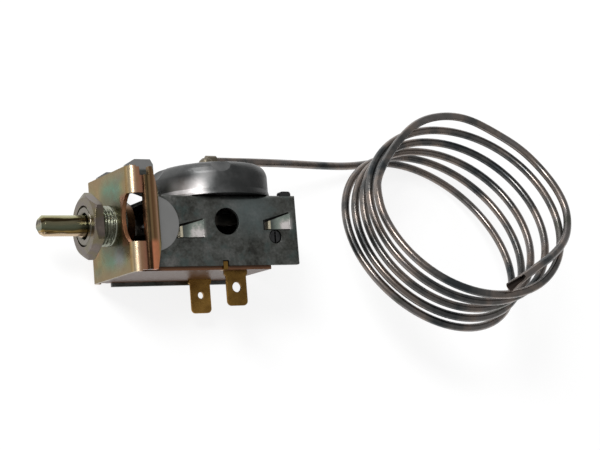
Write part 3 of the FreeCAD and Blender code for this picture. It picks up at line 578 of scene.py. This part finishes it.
def lean_normal(lean_x, lean_y):
    nx = math.sin(math.radians(lean_x))
    ny = math.sin(math.radians(lean_y))
    return Vector((nx, ny, math.sqrt(1 - nx * nx - ny * ny)))


def mixed(a, b, share):
    return a + (b - a) * share


def coil_point(turn):
    """Centre of the tube after so many turns of the coil, between the two stations on either side."""
    low, high = coil_stations[:2] if turn < coil_stations[1]["turn"] else coil_stations[1:]
    share = (turn - low["turn"]) / (high["turn"] - low["turn"])
    centre = Vector(low["centre"]).lerp(Vector(high["centre"]), share)
    radius = mixed(low["radius"], high["radius"], share)
    normal = lean_normal(*(mixed(a, b, share) for a, b in zip(low["lean"], high["lean"])))
    across = (Vector((1, 0, 0)) - normal * normal.x).normalized()
    along = normal.cross(across)
    angle = coil_start_angle - 2 * math.pi * turn
    outside = 1 / math.cos(math.pi / coil_points_per_turn)
    return centre + (across * math.cos(angle) + along * math.sin(angle)) * radius * outside


def open_tip(material, hollow):
    """The tube's free end, cut open along one side: a squeezed trough with bright rims, and inside it a
    near-black material as painted shade in the hollow.
    """
    steps = 24
    end = Vector(free_end_points[-1])
    back = (Vector(free_end_points[-2]) - end).normalized()
    facing = tip_facing - back * tip_facing.dot(back)
    facing.normalize()
    across = back.cross(facing)
    places = 9
    verts = []
    for j in range(places):
        share = j / (places - 1)
        half_gap = math.radians(tip_gap_angle) * math.sqrt(1.0 - share) + tip_least_gap
        wide = mixed(tip_half_width, capillary_radius + tip_slack, share)
        loop = [(wide, k / steps) for k in range(steps + 1)]
        loop += [(wide - tip_wall, 1.0 - k / steps) for k in range(steps + 1)]
        for radius, turn in loop:
            angle = half_gap + (2 * math.pi - 2 * half_gap) * turn
            spread = facing * math.cos(angle) * tip_squeeze + across * math.sin(angle)
            verts.append((end + back * tip_length * share + spread * radius) * MM)
    sides = 2 * (steps + 1)
    faces = ring_faces(places, sides, False)
    for first in (0, (places - 1) * sides):
        for k in range(steps):
            faces.append((first + k, first + k + 1, first + sides - 2 - k, first + sides - 1 - k))
    piece = mesh_piece("capillary_tip", verts, faces, material, 40.0)
    piece.data.materials.append(hollow)
    # Faces inside the trough take the near-black second material: painted shade in the hollow.
    for face in piece.data.polygons:
        if all(steps < corner % sides for corner in face.vertices) and len(set(face.vertices)) == 4:
            face.material_index = 1
    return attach(piece, "housing")


def capillary(material, hollow):
    steps = round(coil_stations[-1]["turn"] * coil_points_per_turn)
    route = [Vector(p) for p in lead_points]
    route += [coil_point(k / coil_points_per_turn) for k in range(steps)]
    route += [Vector(p) for p in free_end_points]
    route[-1] = route[-1].lerp(route[-2], 0.5)
    curve = bpy.data.curves.new("capillary_tube", "CURVE")
    curve.dimensions = "3D"
    curve.resolution_u = 6
    curve.bevel_depth = capillary_radius * MM
    curve.bevel_resolution = 5
    curve.use_fill_caps = True
    spline = curve.splines.new("NURBS")
    spline.points.add(len(route) - 1)
    for point, place in zip(spline.points, route):
        point.co = (*(place * MM), 1.0)
    spline.order_u = 3
    spline.use_endpoint_u = True
    curve.materials.append(material)
    piece = bpy.data.objects.new("capillary_tube", curve)
    bpy.context.collection.objects.link(piece)
    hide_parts("capillary_lead", "capillary_coil", "capillary_end")
    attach(piece, "housing")
    open_tip(material, hollow)
    return piece


# Stage, lights and camera


def stage():
    """A plain white floor that keeps a faint shadow."""
    floor_height = cad_box[0][2]
    size = floor_half_size
    corners = [(-size, -size, floor_height), (size, -size, floor_height), (size, size, floor_height),
               (-size, size, floor_height)]
    p = Paint("pale_floor")
    paths = p.add("ShaderNodeLightPath")
    seen = p.math("MAXIMUM", paths.outputs["Is Camera Ray"], paths.outputs["Is Glossy Ray"])
    seen = p.math("MAXIMUM", seen, paths.outputs["Is Transmission Ray"])
    p.finish(Base_Color=(floor_shade, floor_shade, floor_shade, 1.0), Roughness=0.9,
             Emission_Color=(1.0, 1.0, 1.0, 1.0), Emission_Strength=p.math("MULTIPLY", seen, floor_glow))
    mesh = bpy.data.meshes.new("floor")
    mesh.from_pydata(corners, [], [(0, 1, 2, 3)])
    mesh.materials.append(p.material)
    floor = bpy.data.objects.new("floor", mesh)
    bpy.context.collection.objects.link(floor)


def lamp(name, place, target, size, power):
    light = bpy.data.lights.new(name, "AREA")
    light.shape = "RECTANGLE"
    light.size, light.size_y = size
    light.energy = power
    made = bpy.data.objects.new(name, light)
    made.location = place
    made.rotation_euler = (Vector(target) - Vector(place)).to_track_quat("-Z", "Y").to_euler()
    bpy.context.collection.objects.link(made)


def lights():
    lamp("key_lamp", (-0.52, 0.36, 0.76), lamp_target, (0.22, 0.34), 5.2)
    lamp("top_lamp", (-0.40, 0.80, 0.36), lamp_target, (0.50, 0.20), 2.8)
    world = bpy.data.worlds.new("studio")
    world.use_nodes = True
    background = world.node_tree.nodes["Background"]
    background.inputs["Color"].default_value = (1.0, 1.0, 1.0, 1.0)
    background.inputs["Strength"].default_value = world_strength
    bpy.context.scene.world = world


def camera():
    data = bpy.data.cameras.new("camera")
    data.sensor_fit = "HORIZONTAL"
    data.sensor_width = sensor_width
    data.lens = focal_pixels / image_width * sensor_width
    data.clip_start = 0.01
    data.clip_end = 20.0
    made = bpy.data.objects.new("camera", data)
    right = camera_right.normalized()
    back = right.cross(camera_up).normalized()
    up = back.cross(right)
    turn = Matrix((right, up, back)).transposed().to_4x4()
    made.matrix_world = Matrix.Translation(camera_place) @ turn
    bpy.context.collection.objects.link(made)
    bpy.context.scene.camera = made


def main():
    steel = zinc("spring_steel", (0.30, 0.30, 0.30), (0.18, 0.18, 0.18), 0.22)
    lever_plate = zinc("lever_plate", (0.13, 0.12, 0.10), (0.07, 0.065, 0.06), 0.30)
    screw_plate = zinc("dark_screw", (0.07, 0.07, 0.072), (0.035, 0.035, 0.037), 0.26)
    cup_metal = drawn_steel()
    brass = sheet_brass("sheet_brass", (0.46, 0.26, 0.065), (0.25, 0.13, 0.03))
    # A darker copy of the sheet brass, worn by the near terminal.
    darker_brass = sheet_brass("darker_brass", (0.27, 0.15, 0.035), (0.13, 0.068, 0.016))
    black = moulding("black_moulding", (0.012, 0.012, 0.012), 0.45, 0.4)
    silver = zinc("contact_silver", (0.80, 0.80, 0.78), (0.66, 0.66, 0.64), 0.18)
    wear("mounting_bracket", chromated_sheet())
    wear("panel_nut", nut_metal())
    wear("trim_screw", screw_plate)
    wear("main_lever", lever_plate)
    wear("range_lever", lever_plate)
    wear("spindle", chromated_rod())
    wear("case_frame", galvanised_sheet())
    wear("diaphragm_cup", cup_metal)
    wear("element_base", cup_metal)
    for node in ("terminal_far", "contact_strap", "arm_post"):
        wear(node, brass)
    wear("terminal_near", darker_brass)
    # The range cam, seen through the bracket's window, takes a darker brass that stands for the shade inside
    # the case.
    wear("range_cam", sheet_brass("brass_in_shade", (0.16, 0.08, 0.035), (0.07, 0.035, 0.015)))
    wear("contact_arm", sheet_brass("spring_bronze", (0.34, 0.20, 0.09), (0.20, 0.11, 0.05)))
    wear("capillary_ferrule", sheet_brass("braze", (0.22, 0.19, 0.14), (0.12, 0.105, 0.08)))
    for node in ("retaining_ring", "diaphragm", "thrust_pin", "main_lever_pin", "range_lever_pin"):
        wear(node, steel)
    wear("terminal_base", moulding("brown_moulding", (0.15, 0.062, 0.026), 0.34, 0.35))
    wear("rear_block", black)
    wear("insulating_pusher", black)
    wear("fixed_contact", silver)
    wear("moving_contact", silver)
    threaded_bush(bush_metal())
    range_spring(steel)
    # The near-black moulding inside the open tip is painted shade.
    capillary(capillary_metal(), moulding("tube_hollow_shade", (0.025, 0.016, 0.012), 0.5, 0.3))
    stage()
    lights()
    camera()
    bpy.context.scene.view_settings.view_transform = "Standard"


main()
